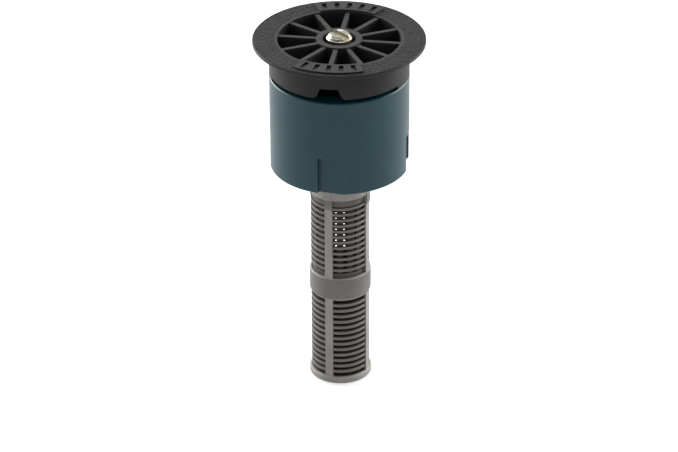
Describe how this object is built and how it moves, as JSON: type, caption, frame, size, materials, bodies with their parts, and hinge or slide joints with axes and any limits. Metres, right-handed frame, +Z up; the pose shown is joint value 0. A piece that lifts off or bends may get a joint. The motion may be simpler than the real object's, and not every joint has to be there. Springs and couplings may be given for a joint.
{
  "type": "pop-up sprinkler spray nozzle",
  "caption": "Strip-pattern spray nozzle for a pop-up sprinkler: flanged deflector cap, threaded body, slotted radius screw and plug-in filter basket.",
  "frame": {"origin": "centre of the filter basket's flat foot, on the surface that the part stands on", "axes": "+Z up along the nozzle's axis; -Y is the way the first outlet sprays and +Y the way its twin sprays"},
  "size_m": [0.028, 0.028, 0.0624],
  "materials": {
    "black_plastic": "moulded black acetal, grained flange, satin ribs",
    "insert_plastic": "moulded black acetal, smooth",
    "teal_plastic": "moulded dark teal plastic, satin",
    "stainless": "turned stainless steel, worn",
    "grey_plastic": "moulded warm grey plastic, satin"
  },
  "bodies": {
    "nozzle": {"nozzle_body": "teal_plastic", "orifice_insert": "insert_plastic", "deflector_cap": "black_plastic"},
    "screw": {"radius_screw": "stainless"},
    "filter": {"filter_basket": "grey_plastic"}
  },
  "joints": [
    {"name": "screw_turn", "type": "hinge", "parent": "nozzle", "child": "screw", "pos_m": [0, 0, 0.058], "axis": [0, 0, 1], "range_deg": [-990, 450]},
    {"name": "filter_pull", "type": "slide", "parent": "nozzle", "child": "filter", "axis": [0, 0, -1], "range_m": [0, 0.014]}
  ]
}
